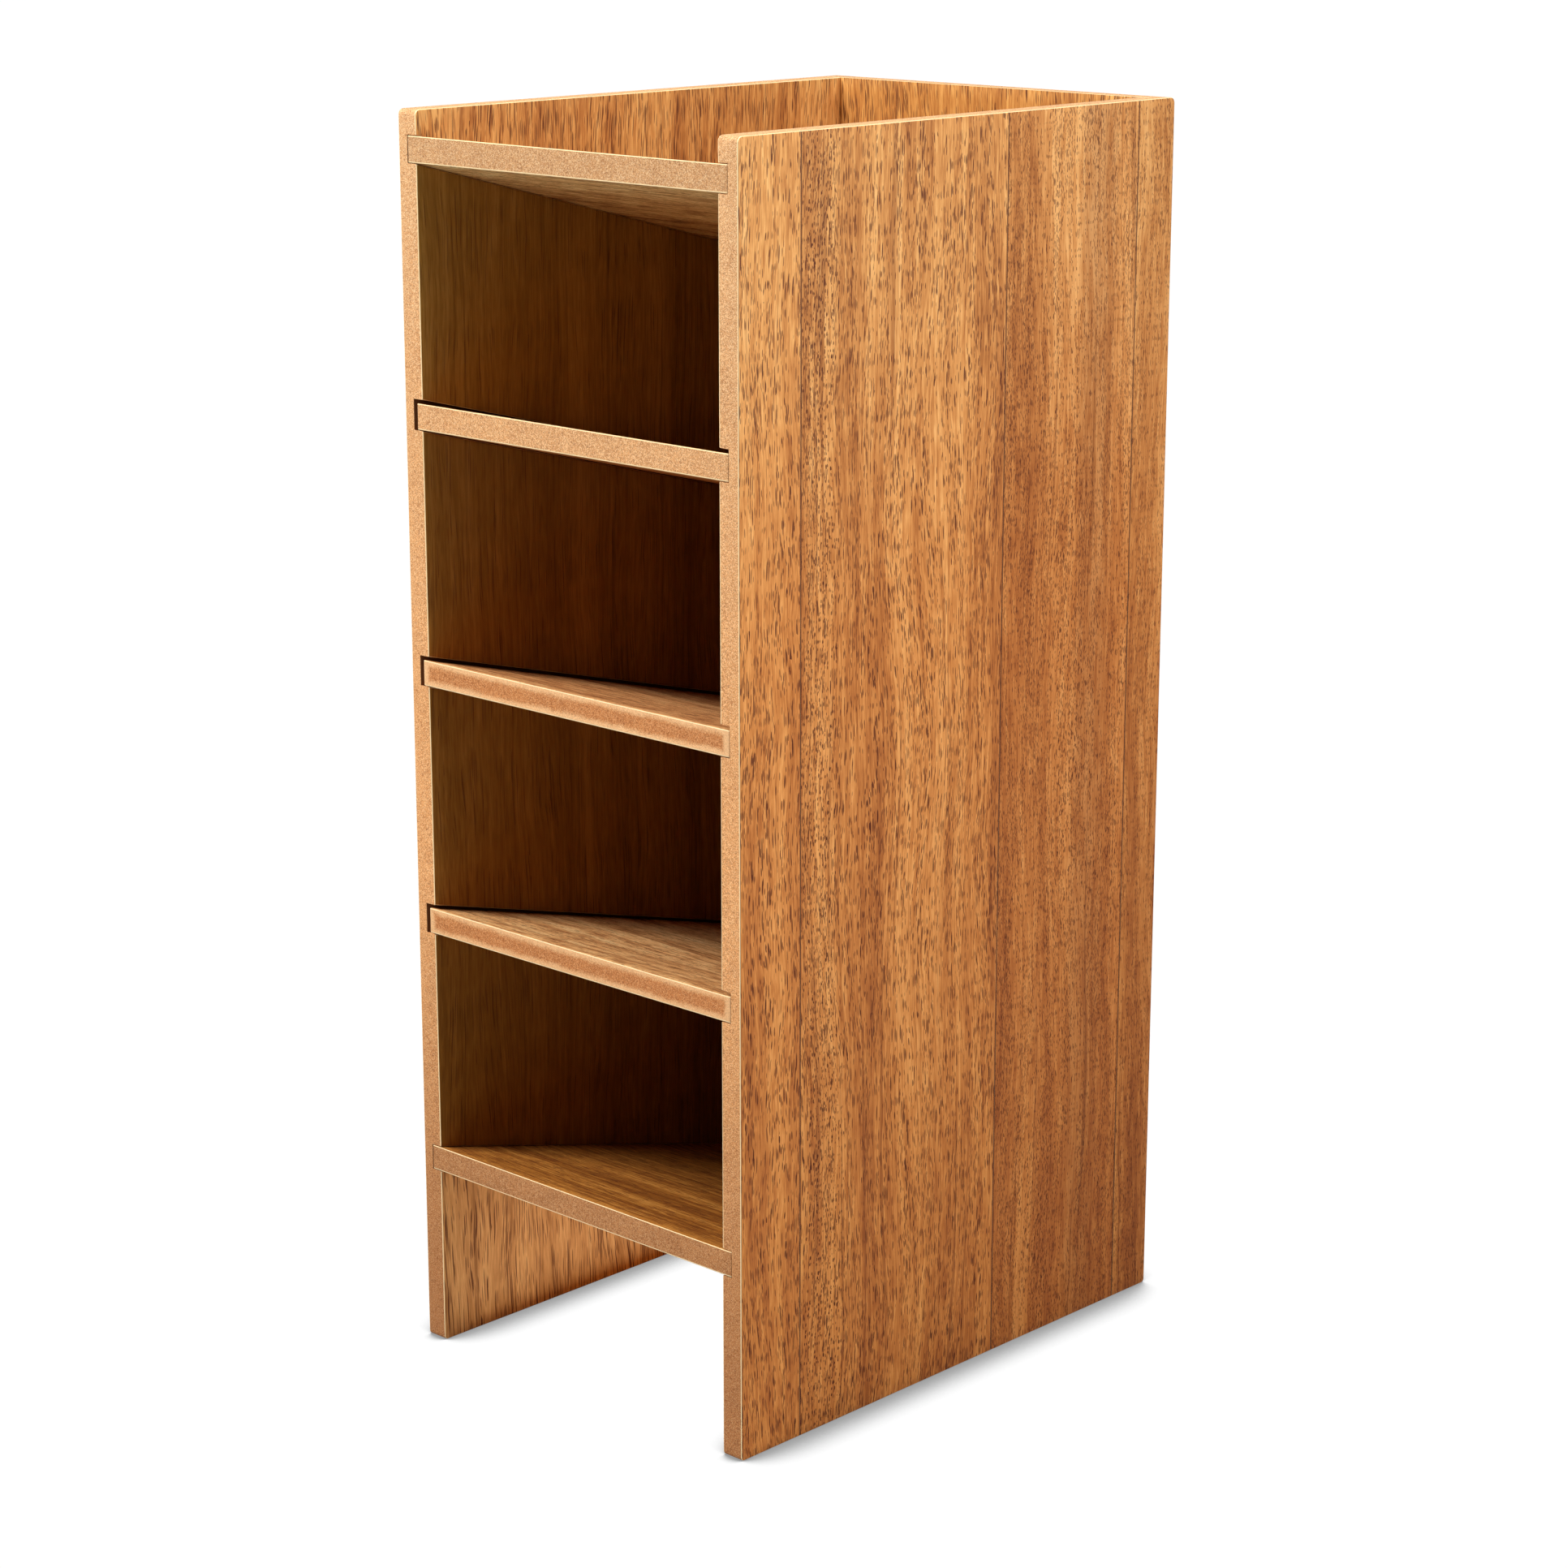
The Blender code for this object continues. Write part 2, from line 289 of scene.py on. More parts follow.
def build_back():
    core, inner, outer = [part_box(f"back_{layer}")
                          for layer in ("core", "inner_veneer", "outer_veneer")]
    board = whole_board("back_core", AXES[Y], AXES[Y], core[0].y - inner[0].y,
                        outer[1].y - core[1].y)
    round_edges(board, MOUTH_ARRIS, 2, lambda a, b: True)
    slice_board(board, X)
    slice_board(board, Z)
    wear(board, 11.0)
    add_layers(board, AXES[Y], AXES[Y] * between(inner[1].y, core[0].y),
               AXES[Y] * between(core[1].y, outer[0].y),
               ("back_inner_veneer", "back_core", "back_outer_veneer"),
               (veneer("back_inner_wood", (X, Z, Y), seed=21.0, **BACK_INNER),
                veneer("back_outer_wood", (X, Z, Y), seed=23.0, **BACK)),
               fibreboard("back_fibre", 24.0))


def build_shelf(name, seed, look, under_look, fibre_tone):
    """A shelf, which slopes: drop is how much lower its rear is than its front."""
    core, under, top = [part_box(f"{name}_{layer}")
                        for layer in ("core", "under_veneer", "top_veneer")]
    front, rear = core[0].y, core[1].y
    drop = (rear - front) * -SLOPE_AXIS.z / SLOPE_AXIS.y
    board = whole_board(f"{name}_core", SHELF_NORMAL, AXES[Z], core[0].z - under[0].z,
                        top[1].z - core[1].z)
    round_edges(board, SHELF_ARRIS, 3, lambda a, b: True)
    slice_board(board, X)
    slice_board(board, Y)
    wear(board, seed)
    heart = None
    if name in HEARTED:
        heart = (Vector((between(core[0].x, core[1].x), front,
                         between(core[0].z + drop, core[1].z))), (core[1].x - core[0].x) / 2.0)
    add_layers(board, SHELF_NORMAL,
               Vector((0.0, front, between(core[0].z + drop, under[1].z))),
               Vector((0.0, rear, between(core[1].z - drop, top[0].z))),
               (f"{name}_under_veneer", f"{name}_core", f"{name}_top_veneer"),
               (veneer(f"{name}_under_wood", (Y, X, Z), seed=seed + 0.5, **under_look),
                veneer(f"{name}_top_wood", (Y, X, Z), seed=seed, **look)),
               fibreboard(f"{name}_fibre", seed + 0.2, fibre_tone, heart=heart))


# ---- Node helpers -------------------------------------------------------------------
def add_node(tree, kind, inputs=(), **settings):
    """A shader node with its settings, and its inputs set to values or linked to sockets."""
    node = tree.nodes.new(kind)
    for name, value in settings.items():
        setattr(node, name, value)
    for key, value in dict(inputs).items():
        if isinstance(value, bpy.types.NodeSocket):
            tree.links.new(value, node.inputs[key])
        else:
            node.inputs[key].default_value = value
    return node


def calc(tree, operation, *values):
    return add_node(tree, "ShaderNodeMath", dict(enumerate(values)), operation=operation).outputs[0]


def blend(tree, *terms):
    """The sum of (value, weight) pairs."""
    total = 0.0
    for value, weight in terms:
        total = calc(tree, "MULTIPLY_ADD", value, weight, total)
    return total


def span(tree, value, low, high, to_low=0.0, to_high=1.0):
    """Maps low..high to to_low..to_high with soft ends, and holds beyond them."""
    node = add_node(tree, "ShaderNodeMapRange",
                    {"Value": value, "From Min": low, "From Max": high,
                     "To Min": to_low, "To Max": to_high}, interpolation_type="SMOOTHSTEP")
    return node.outputs["Result"]


def mix(tree, factor, first, second, blend_type="MIX"):
    """Mixes two colours given as (r, g, b) or sockets."""
    def full(color):
        return color if isinstance(color, bpy.types.NodeSocket) else (*color, 1.0)

    node = add_node(tree, "ShaderNodeMix", {0: factor, 6: full(first), 7: full(second)},
                    data_type="RGBA", blend_type=blend_type)
    return node.outputs[2]


def ramp(tree, value, stops):
    """A smooth colour scale through the (place, colour) stops."""
    node = add_node(tree, "ShaderNodeValToRGB", {0: value})
    elements = node.color_ramp.elements
    for element, (place, color) in zip(elements, (stops[0], stops[-1])):
        element.position = place
        element.color = (*color, 1.0)
    for place, color in stops[1:-1]:
        elements.new(place).color = (*color, 1.0)
    return node.outputs["Color"]


def grey(tree, value):
    return add_node(tree, "ShaderNodeCombineColor", {0: value, 1: value, 2: value}).outputs[0]


def vector(tree, x, y, z):
    return add_node(tree, "ShaderNodeCombineXYZ", {0: x, 1: y, 2: z}).outputs[0]


def tinted(tree, color, tint, share=1.0):
    """The colour multiplied by a tint, as far as share says."""
    return mix(tree, share, color, tint, "MULTIPLY")


def fractal(tree, place, detail=2.0, roughness=0.5):
    node = add_node(tree, "ShaderNodeTexNoise",
                    {"Vector": place, "Scale": 1.0, "Detail": detail, "Roughness": roughness})
    return node.outputs["Fac"]


def stretched(tree, across, along, wide, long, shift=0.0):
    """Pattern space whose unit is `wide` mm across the grain and `long` mm along it."""
    return vector(tree, calc(tree, "MULTIPLY_ADD", across, 1.0 / wide, shift * 7.3),
                  calc(tree, "MULTIPLY_ADD", along, 1.0 / long, shift * 3.1), shift)


def distance_from(tree, value, place):
    return calc(tree, "ABSOLUTE", calc(tree, "SUBTRACT", value, place))


def new_material(name):
    material = bpy.data.materials.new(name)
    material.use_nodes = True
    tree = material.node_tree
    return material, tree, tree.nodes["Principled BSDF"]


# ---- Veneer -------------------------------------------------------------------------
# Palettes run from the palest wood to the darkest: (place on the scale, colour).
WOOD = ((0.26, (0.80, 0.375, 0.115)),
        (0.42, (0.62, 0.244, 0.062)),
        (0.56, (0.45, 0.150, 0.034)),
        (0.74, (0.25, 0.068, 0.015)))
# Painted shade: a darker, more olive copy of the wood for the inner walls of the bays, standing for
# the shadow inside them.
SHADED_WOOD = ((0.24, (0.58, 0.285, 0.060)),
               (0.42, (0.46, 0.212, 0.036)),
               (0.58, (0.36, 0.160, 0.024)),
               (0.80, (0.24, 0.098, 0.013)))
# Paler tan wood for the loose shelves' tops and the top shelf's underside, made paler still as
# painted light, so that they look lit inside the shaded bays.
SHELF_WOOD = ((0.20, (0.88, 0.570, 0.260)),
              (0.40, (0.79, 0.430, 0.168)),
              (0.56, (0.54, 0.240, 0.080)),
              (0.76, (0.24, 0.090, 0.027)))
# Painted light: a paler, less saturated copy of the wood for the inner wall below the bottom shelf,
# standing for the light that reaches it.
LIT_LEG_WOOD = ((0.24, (0.72, 0.340, 0.125)),
            (0.42, (0.58, 0.245, 0.082)),
            (0.58, (0.46, 0.180, 0.054)),
            (0.80, (0.26, 0.088, 0.024)))
FLOOR_WOOD = ((0.24, (0.66, 0.290, 0.060)),
              (0.42, (0.44, 0.165, 0.026)),
              (0.58, (0.26, 0.082, 0.012)),
              (0.80, (0.13, 0.036, 0.006)))
PORE = (0.070, 0.010, 0.007)
STRIPE = (0.78, 0.73, 0.72)
# The pale arrises: partly the bare edge of the veneer, partly a painted highlight along every
# rounded edge.
BARE_EDGE_AND_HIGHLIGHT = (0.95, 0.74, 0.42)

# Upright wood is tinted by its height, a painted light from above that leaves it darker and redder
# near the floor and paler and less saturated towards the top: the three tints and the heights
# between them.
LOW_TINT = (0.88, 0.81, 0.68)
MIDDLE_TINT = (1.02, 1.02, 1.04)
HIGH_TINT = (1.12, 1.38, 1.75)
LOW_TO_MIDDLE = (0.03, 0.36)
MIDDLE_TO_HIGH = (0.38, 0.66)

# Noises of the grain: mm across it, mm along it, seed shift, detail, roughness.
SWAY = (70.0, 240.0, 0, 1.0, 0.5)
RIPPLE = (10.0, 38.0, 0, 1.0, 0.5)
BANDS = (20.0, 700.0, 0, 2.0, 0.6)
LINES = (3.0, 120.0, 3, 3.0, 0.75)
HAIR = (0.9, 18.0, 5, 2.0, 0.7)
MOTTLE = (7.0, 18.0, 7, 3.0, 0.6)
PORE_ROWS = (5.5, 90.0, 11, 2.0, 0.5)
VEINS = (3.6, 520.0, 29, 2.0, 0.6)
SWAY_MM = 26.0                   # how far the two bend the grain sideways
RIPPLE_MM = 3.2
BAND_WEIGHT, LINE_WEIGHT, HAIR_WEIGHT, MOTTLE_WEIGHT = 0.64, 0.46, 0.60, 0.26
MEAN_TONE = 0.46                 # where plain wood lies on the palette's scale
PORE_SIZE = 0.30                 # half width of a pore, as a share of its room
SMALL_PORE_SIZE = 0.27
SMALL_PORE = (0.85, 0.55)        # room of a small pore against a big one's, across and along
FLECK = (1.5, 3.6)               # room of one fleck of the figure, in mm
FLECK_SIZE = 0.31
JOINT_LINE = (0.00018, 0.00065)  # a leaf joint is full dark within the first, gone at the second
BUMP_DEPTH = 0.0002

# Looks of the single pieces, as veneer() takes them.
LEAVES = (
    dict(tint=(1.10, 1.08, 1.05), crowd=1.10, pore=(1.25, 15.0)),
    dict(tint=(1.04, 1.02, 1.00), crowd=1.10, shade=0.01, figure=(-0.092, 0.014)),
    dict(tint=(0.89, 0.80, 0.74), crowd=1.30, grain=0.8, pore=(1.1, 6.0), depth=0.9,
         stripe=(0.104, 0.019)),
    dict(tint=(0.86, 0.80, 0.76), crowd=0.90, shade=0.02, pore=(1.1, 6.0), depth=0.8),
)
# The inner wall below the bottom shelf: the lit copy of the wood, painted light.
LIT_LEG_WALL = dict(palette=LIT_LEG_WOOD, tint=(1.36, 1.80, 2.05), crowd=1.10, grain=1.5,
                pore=(1.25, 45.0))
TRAY_WALL = dict(tint=(0.86, 0.82, 0.68), crowd=1.10, grain=1.3, pore=(1.1, 26.0))
BACK_INNER = dict(tint=(0.78, 0.74, 0.56), crowd=1.10, grain=1.3, pore=(1.1, 26.0))
# The inner walls of the bays: the shaded copy of the wood, painted shade.
SHADED_BAY_WALL = dict(palette=SHADED_WOOD, tint=(0.77, 0.71, 0.62), crowd=0.45, grain=1.5,
                pore=(1.2, 60.0), depth=0.6)
BACK = dict(crowd=0.80, pore=(1.3, 16.0))
# The loose shelves and the top shelf's underside: tan wood, partly painted light.
LOOSE_SHELF = dict(palette=SHELF_WOOD, crowd=0.90, grain=1.6, cloud=3.0, pore=(1.2, 9.0),
                   depth=0.8)
MIDDLE_SHELF = dict(LOOSE_SHELF, tint=(0.94, 0.84, 0.80))
TOP_SHELF_UNDER = dict(LOOSE_SHELF, tint=(0.96, 1.12, 1.12))
BOTTOM_SHELF = dict(palette=FLOOR_WOOD, crowd=0.9, grain=2.0, pore=(1.3, 14.0), depth=0.8)
FIXED_SHELF = dict(tint=(0.88, 0.88, 0.88), crowd=0.80, shade=0.03, grain=1.3,
                   pore=(1.3, 14.0), depth=0.7)


def strokes(tree, across, along, wide, long, size, share, shift):
    """Dark pores, one to a cell: short strokes along the grain in a share of the cells."""
    cell = add_node(tree, "ShaderNodeTexVoronoi",
                    {"Vector": stretched(tree, across, along, wide, long, shift), "Scale": 1.0},
                    voronoi_dimensions="2D")
    dice = add_node(tree, "ShaderNodeSeparateColor", {0: cell.outputs["Color"]}).outputs
    reach = calc(tree, "MULTIPLY_ADD", dice[0], size * 0.75, size * 0.5)
    body = span(tree, calc(tree, "SUBTRACT", reach, cell.outputs["Distance"]), 0.0, size * 0.30)
    kept = calc(tree, "LESS_THAN", dice[1], share)
    depth = calc(tree, "MULTIPLY_ADD", dice[2], 0.4, 0.6)
    return calc(tree, "MULTIPLY", calc(tree, "MULTIPLY", body, kept), depth)


def veneer(name, axes, seed, palette=WOOD, tint=(1.0, 1.0, 1.0), crowd=1.0, shade=0.0,
           grain=1.0, cloud=1.0, pore=(1.25, 13.0), depth=1.0, figure=None, stripe=None,
           joints=()):
    """Oiled veneer: bands, streaks and mottle along the grain, dark pores, a paler edge on the
    arrises, partly the bare cut veneer and partly a painted highlight.

    axes are the directions across the grain, along it, and out of the face. shade makes the
    wood darker, grain and cloud set how strong its lines and its mottle are, and crowd gives
    more pores. pore is the room of one pore across and along the grain in mm, and depth is
    how dark it is. figure and stripe are (place, half width) zones across the grain in
    metres, one of short flecks and the other of darker wood, and joints are the places of
    the dark lines between leaves. Upright wood is paler towards the top and darker near the floor,
    a painted light from above.
    """
    material, tree, shader = new_material(name)
    place = add_node(tree, "ShaderNodeTexCoord")
    spots = add_node(tree, "ShaderNodeSeparateXYZ", {0: place.outputs["Object"]}).outputs
    facing = add_node(tree, "ShaderNodeSeparateXYZ", {0: place.outputs["Normal"]}).outputs
    across = calc(tree, "MULTIPLY", spots[axes[0]], MM)
    along = calc(tree, "MULTIPLY", spots[axes[1]], MM)

    def layer(sideways, noise_of):
        wide, long, shift, detail, roughness = noise_of
        place_in = stretched(tree, sideways, along, wide, long, seed + shift)
        return fractal(tree, place_in, detail, roughness)

    bend = blend(tree, (layer(across, SWAY), SWAY_MM), (layer(across, RIPPLE), RIPPLE_MM))
    bent = calc(tree, "ADD", across, bend)
    hair = layer(bent, HAIR)
    mottle = layer(bent, MOTTLE)
    weights = ((layer(bent, BANDS), BAND_WEIGHT), (layer(bent, LINES), LINE_WEIGHT * grain),
               (hair, HAIR_WEIGHT), (mottle, MOTTLE_WEIGHT * cloud))
    middle = 0.5 * sum(weight for _, weight in weights)
    value = calc(tree, "ADD", blend(tree, *weights), MEAN_TONE - middle + shade)
    wood = ramp(tree, value, palette)

    wide, long = pore
    share = span(tree, layer(bent, PORE_ROWS), 0.34, 0.62, 0.20 * crowd, 0.80 * crowd)
    dark = calc(tree, "MAXIMUM",
                strokes(tree, bent, along, wide, long, PORE_SIZE, share, seed + 13),
                strokes(tree, bent, along, wide * SMALL_PORE[0], long * SMALL_PORE[1],
                        SMALL_PORE_SIZE, share, seed + 17))
    if figure:
        centre, reach = figure
        off = distance_from(tree, bent, centre * MM)
        zone = span(tree, off, reach * MM * 0.5, reach * MM * 1.3, 0.75, 0.0)
        flecks = strokes(tree, bent, along, *FLECK, FLECK_SIZE, zone, seed + 19)
        dark = calc(tree, "MAXIMUM", dark, flecks)
    dark = calc(tree, "MULTIPLY", dark, depth)
    wood = mix(tree, span(tree, layer(bent, VEINS), 0.60, 0.72, 0.0, 0.60), wood, palette[-1][1])
    if stripe:
        centre, reach = stripe
        off = distance_from(tree, spots[axes[0]], centre)
        zone = span(tree, off, reach * 0.4, reach, 1.0, 0.0)
        wood = mix(tree, zone, wood, tinted(tree, wood, STRIPE))
    surface = mix(tree, calc(tree, "MULTIPLY", dark, 0.96), wood, PORE)

    for joint in joints:
        line = span(tree, distance_from(tree, spots[axes[0]], joint), *JOINT_LINE, 0.90, 0.0)
        surface = mix(tree, line, surface, PORE)
    surface = tinted(tree, surface, tint)
    # Painted light: upright wood is darker and redder near the floor and paler and less saturated
    # towards the top, as if lit from above.
    if axes[1] == Z:
        painted_height_light = mix(tree, span(tree, spots[Z], *LOW_TO_MIDDLE), LOW_TINT, MIDDLE_TINT)
        painted_height_light = mix(tree, span(tree, spots[Z], *MIDDLE_TO_HIGH), painted_height_light, HIGH_TINT)
        surface = tinted(tree, surface, painted_height_light)
    # Paler on the rounded arrises and cut edges: partly the bare veneer, partly a painted
    # highlight.
    flat = calc(tree, "ABSOLUTE", facing[axes[2]])
    surface = mix(tree, span(tree, flat, 0.50, 0.90, 1.0, 0.0), surface, BARE_EDGE_AND_HIGHLIGHT)

    tree.links.new(surface, shader.inputs["Base Color"])
    rough = blend(tree, (dark, 0.25), (hair, 0.14), (mottle, 0.08))
    tree.links.new(calc(tree, "ADD", rough, 0.42), shader.inputs["Roughness"])
    shader.inputs["Specular IOR Level"].default_value = 0.20
    relief = calc(tree, "SUBTRACT", calc(tree, "MULTIPLY", hair, 0.35), dark)
    bump = add_node(tree, "ShaderNodeBump", {"Height": relief, "Strength": 0.4,
                                             "Distance": BUMP_DEPTH})
    tree.links.new(bump.outputs[0], shader.inputs["Normal"])
    return material


# ---- Fibreboard ---------------------------------------------------------------------
FIBRE = (0.74, 0.370, 0.148)
FIBRE_DARK = (0.30, 0.108, 0.034)
FIBRE_LIGHT = (0.92, 0.60, 0.32)
# Painted shade in the grooves: the colour that the cutter's faces are darkened to, standing for the
# shadow inside them.
GROOVE_SHADE = (0.16, 0.070, 0.028)
HEARTED = ("lower_shelf", "middle_shelf")   # shelves whose edge is darker in the middle
HEART_TINT = (0.76, 0.59, 0.47)
PALE_RIM = (0.90, 0.60, 0.34)
RIM = 0.0040                     # how wide the paler rim of such an edge is
RIM_AT = 0.0040                  # and how far from the middle of its thickness it starts

# All of it is tinted by its height, a painted light from above that leaves it darker and redder
# towards the floor and less warm higher up: the three tints and the heights between them.
FIBRE_LOW_TINT = (0.60, 0.47, 0.37)
FIBRE_MIDDLE_TINT = (1.02, 0.94, 0.84)
FIBRE_HIGH_TINT = (0.93, 0.97, 1.00)
FIBRE_LOW_TO_MIDDLE = (0.0, 0.30)
FIBRE_MIDDLE_TO_HIGH = (0.30, 0.64)
CLOUD_MM, GRIT_MM, FINE_MM, FLECK_MM = 12.0, 0.65, 0.60, 2.2   # sizes of its patterns


def fibreboard(name, seed, tone=1.0, grooved=False, heart=None):
    """Sanded fibreboard edge: fine pale and dark fibres on a warm tan ground.

    With grooved, the faces that the cutter left, sloping like the shelves or facing left and
    right, are darker: painted shade in the grooves. heart is the middle and the half width of a
    shelf whose edge is darker in the middle and paler at its rims. It is paler towards the top of
    the rack and darker and redder towards the floor, a painted light from above.
    """
    material, tree, shader = new_material(name)
    place = add_node(tree, "ShaderNodeTexCoord")
    spots = add_node(tree, "ShaderNodeSeparateXYZ", {0: place.outputs["Object"]}).outputs

    def at(unit, shift):
        scaled = [calc(tree, "MULTIPLY_ADD", spots[i], MM / unit, shift) for i in range(3)]
        return vector(tree, *scaled)

    def along_shelf_normal(direction):
        return add_node(tree, "ShaderNodeVectorMath", {0: direction, 1: tuple(SHELF_NORMAL)},
                        operation="DOT_PRODUCT").outputs["Value"]

    clouds = fractal(tree, at(CLOUD_MM, seed), 3.0, 0.6)
    grit = fractal(tree, at(GRIT_MM, seed + 3), 3.0, 0.75)
    fine = fractal(tree, at(FINE_MM, seed + 9), 2.0, 0.7)
    cell = add_node(tree, "ShaderNodeTexVoronoi", {"Vector": at(FLECK_MM, seed + 5), "Scale": 1.0})
    dice = add_node(tree, "ShaderNodeSeparateColor", {0: cell.outputs["Color"]}).outputs
    fleck = calc(tree, "MULTIPLY", span(tree, cell.outputs["Distance"], 0.40, 0.18),
                 calc(tree, "LESS_THAN", dice[0], 0.40))
    color = mix(tree, span(tree, clouds, 0.3, 0.7, 0.0, 0.25), FIBRE, FIBRE_DARK)
    color = mix(tree, span(tree, grit, 0.46, 0.60, 0.0, 0.90), color, FIBRE_LIGHT)
    color = mix(tree, span(tree, fine, 0.38, 0.52, 0.70, 0.0), color, FIBRE_DARK)
    color = mix(tree, calc(tree, "MULTIPLY", fleck, 0.45), color, FIBRE_DARK)
    if grooved:
        facing = add_node(tree, "ShaderNodeSeparateXYZ", {0: place.outputs["Normal"]}).outputs
        lean = calc(tree, "ABSOLUTE", along_shelf_normal(place.outputs["Normal"]))
        cut = calc(tree, "MAXIMUM", span(tree, lean, 0.990, 0.999),
                   calc(tree, "ABSOLUTE", facing[X]))
        # Painted shade: the faces inside the grooves, sloping like the shelves or facing left and
        # right, are darkened as if in shadow.
        color = mix(tree, span(tree, cut, 0.6, 0.95), color, GROOVE_SHADE)
    if heart:
        middle, half = heart
        high = distance_from(tree, along_shelf_normal(place.outputs["Object"]),
                             middle.dot(SHELF_NORMAL))
        wide = distance_from(tree, spots[X], middle.x)
        off = calc(tree, "MAXIMUM", calc(tree, "SUBTRACT", high, RIM_AT),
                   calc(tree, "SUBTRACT", wide, half - RIM))
        uneven = calc(tree, "MULTIPLY_ADD", clouds, RIM, off)
        color = mix(tree, span(tree, uneven, 0.0, RIM, 0.0, 0.55), color, PALE_RIM)
        color = tinted(tree, color, HEART_TINT, span(tree, uneven, 0.0, RIM * 0.8, 0.9, 0.0))
    # Painted light: the fibreboard is darker and redder near the floor and paler higher up, as if
    # lit from above.
    painted_fibre_height_light = mix(tree, span(tree, spots[Z], *FIBRE_LOW_TO_MIDDLE), FIBRE_LOW_TINT,
                FIBRE_MIDDLE_TINT)
    painted_fibre_height_light = mix(tree, span(tree, spots[Z], *FIBRE_MIDDLE_TO_HIGH), painted_fibre_height_light, FIBRE_HIGH_TINT)
    color = tinted(tree, tinted(tree, color, painted_fibre_height_light), (tone, tone, tone))
    tree.links.new(color, shader.inputs["Base Color"])
    tree.links.new(calc(tree, "MULTIPLY_ADD", grit, 0.15, 0.70), shader.inputs["Roughness"])
    shader.inputs["Specular IOR Level"].default_value = 0.25
    bump = add_node(tree, "ShaderNodeBump", {"Height": grit, "Strength": 0.5,
                                             "Distance": BUMP_DEPTH})
    tree.links.new(bump.outputs[0], shader.inputs["Normal"])
    return material


# ---- Stage --------------------------------------------------------------------------
WHITE_GLOW = 1.02                   # strength that renders as white, for floor and backdrop
AMBIENT = 0.12                      # what the backdrop adds to the light
FLOOR_SIZE = 60.0
FLOOR_BOUNCE = (0.45, 0.45, 0.45)   # the grey that the floor reflects onto the rack
SHADOW_REACH = 0.050
SHADOW_LEAN = (-0.75, 0.40, 0.50)   # towards the lamp side: the shadow lies to the other side
SHADOW_RANGE = (0.48, 0.80)         # openness at which it is darkest, and where it ends
SHADOW_TONE = 0.32
SHADOW_SAMPLES = 24


def add_floor():
    """A white studio floor: it glows for the camera, with a soft contact shadow at the feet."""
    bm = bmesh.new()
    bmesh.ops.create_grid(bm, x_segments=4, y_segments=4, size=FLOOR_SIZE)
    mesh = bpy.data.meshes.new("floor")
    bm.to_mesh(mesh)
    bm.free()
    floor = bpy.data.objects.new("floor", mesh)
    bpy.context.scene.collection.objects.link(floor)
    material, tree, shader = new_material("floor_white")
    shader.inputs["Base Color"].default_value = (*FLOOR_BOUNCE, 1.0)
    shader.inputs["Roughness"].default_value = 1.0
    shader.inputs["Specular IOR Level"].default_value = 0.0
    near = add_node(tree, "ShaderNodeAmbientOcclusion",
                    {"Distance": SHADOW_REACH, "Normal": tuple(Vector(SHADOW_LEAN).normalized())},
                    samples=SHADOW_SAMPLES)
    shadow = span(tree, near.outputs["AO"], *SHADOW_RANGE, SHADOW_TONE, 1.0)
    glow = add_node(tree, "ShaderNodeEmission",
                    {"Color": grey(tree, shadow), "Strength": WHITE_GLOW})
    rays = add_node(tree, "ShaderNodeLightPath")
    chosen = add_node(tree, "ShaderNodeMixShader",
                      {0: rays.outputs["Is Camera Ray"], 1: shader.outputs[0],
                       2: glow.outputs[0]})
    tree.links.new(chosen.outputs[0], tree.nodes["Material Output"].inputs["Surface"])
    mesh.materials.append(material)


def add_softbox(name, place, aim, size, power, glossy=True):
    """A rectangular lamp, unseen by the camera. Without glossy it makes no highlights."""
    data = bpy.data.lights.new(name, "AREA")
    data.shape = "RECTANGLE"
    data.size, data.size_y = size
    data.energy = power
    light = bpy.data.objects.new(name, data)
    light.location = place
    light.rotation_mode = "QUATERNION"
    light.rotation_quaternion = (Vector(place) - Vector(aim)).to_track_quat("Z", "Y")
    light.visible_camera = False
    light.visible_glossy = glossy
    bpy.context.scene.collection.objects.link(light)


def add_world():
    """A backdrop that is white to the camera and gives only a little light."""
    world = bpy.data.worlds.new("studio")
    world.use_nodes = True
    tree = world.node_tree
    background = tree.nodes["Background"]
    rays = add_node(tree, "ShaderNodeLightPath")
    strength = calc(tree, "MULTIPLY_ADD", rays.outputs["Is Camera Ray"], WHITE_GLOW - AMBIENT,
                    AMBIENT)
    tree.links.new(strength, background.inputs["Strength"])
    background.inputs["Color"].default_value = (1.0, 1.0, 1.0, 1.0)
    bpy.context.scene.world = world


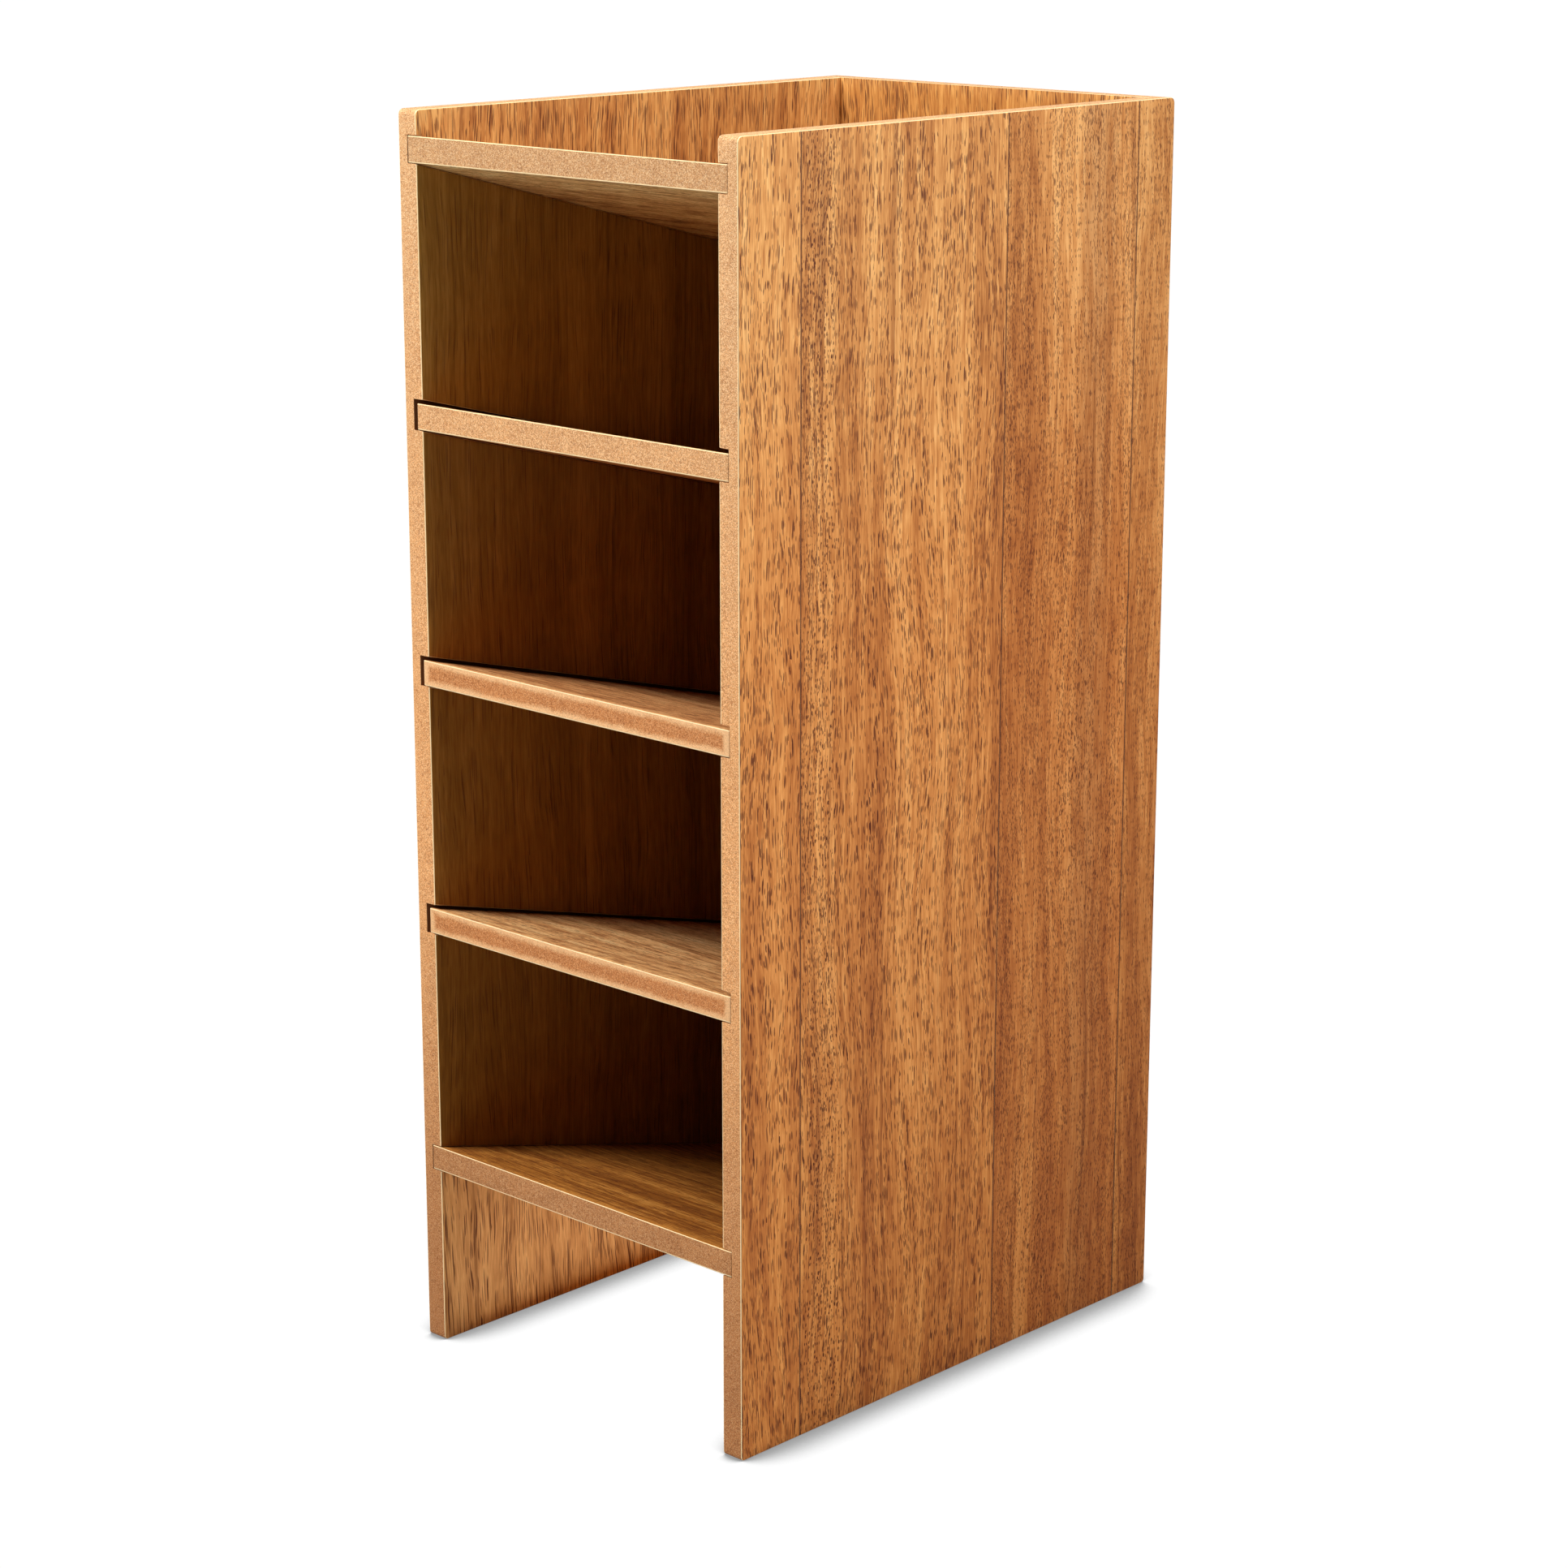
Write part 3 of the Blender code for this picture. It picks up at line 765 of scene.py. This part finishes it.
def light_studio():
    add_world()
    add_softbox("overhead", (0.0, 0.0, 2.6), (0.0, 0.0, 0.0), (2.0, 2.0), 30.0)
    add_softbox("right_high", (1.20, 0.12, 1.05), (0.1, 0.0, 0.5), (0.7, 0.7), 14.0)
    add_softbox("front_high", (-0.55, -1.70, 2.10), (0.0, -0.1, 0.4), (1.0, 1.0), 72.0)
    add_softbox("under_glow", (0.0, -0.02, 0.003), (0.0, -0.02, 1.0), (0.18, 0.26), 0.20,
                glossy=False)   # light that a white floor would throw up between the sides


# ---- Camera -------------------------------------------------------------------------
IMAGE_SIDE = 1931.0              # of the photo, in its pixels, as is the focal length
FOCAL_PIXELS = 4595.6
SENSOR = 36.0                    # mm
AZIMUTH = math.radians(43.47)    # of the camera, round from the front towards the right
PITCH = math.radians(14.743)     # how far it looks down
CAMERA_PLACE = (1.3383, -1.4194, 0.8169)


def add_camera():
    data = bpy.data.cameras.new("camera")
    data.sensor_width = SENSOR
    data.lens = SENSOR * FOCAL_PIXELS / IMAGE_SIDE
    camera = bpy.data.objects.new("camera", data)
    camera.location = CAMERA_PLACE
    back = Vector((math.sin(AZIMUTH) * math.cos(PITCH), -math.cos(AZIMUTH) * math.cos(PITCH),
                   math.sin(PITCH)))
    camera.rotation_mode = "QUATERNION"
    camera.rotation_quaternion = (-back).to_track_quat("-Z", "Y")
    bpy.context.scene.collection.objects.link(camera)
    bpy.context.scene.camera = camera


# ---- Build --------------------------------------------------------------------------
# Shelves from the floor up: name, look of the top, look of the underside, fibreboard's tone.
SHELVES = (
    ("bottom_shelf", BOTTOM_SHELF, FIXED_SHELF, 0.90),
    ("lower_shelf", LOOSE_SHELF, FIXED_SHELF, 0.96),
    ("middle_shelf", MIDDLE_SHELF, FIXED_SHELF, 0.96),
    ("upper_shelf", LOOSE_SHELF, FIXED_SHELF, 0.96),
    ("top_shelf", FIXED_SHELF, TOP_SHELF_UNDER, 0.84),
)

build_side("left", -1)
build_side("right", 1)
build_back()
for number, (name, look, under_look, fibre_tone) in enumerate(SHELVES):
    build_shelf(name, 31.0 + 4.0 * number, look, under_look, fibre_tone)
add_floor()
light_studio()
add_camera()
bpy.context.scene.view_settings.view_transform = "Standard"
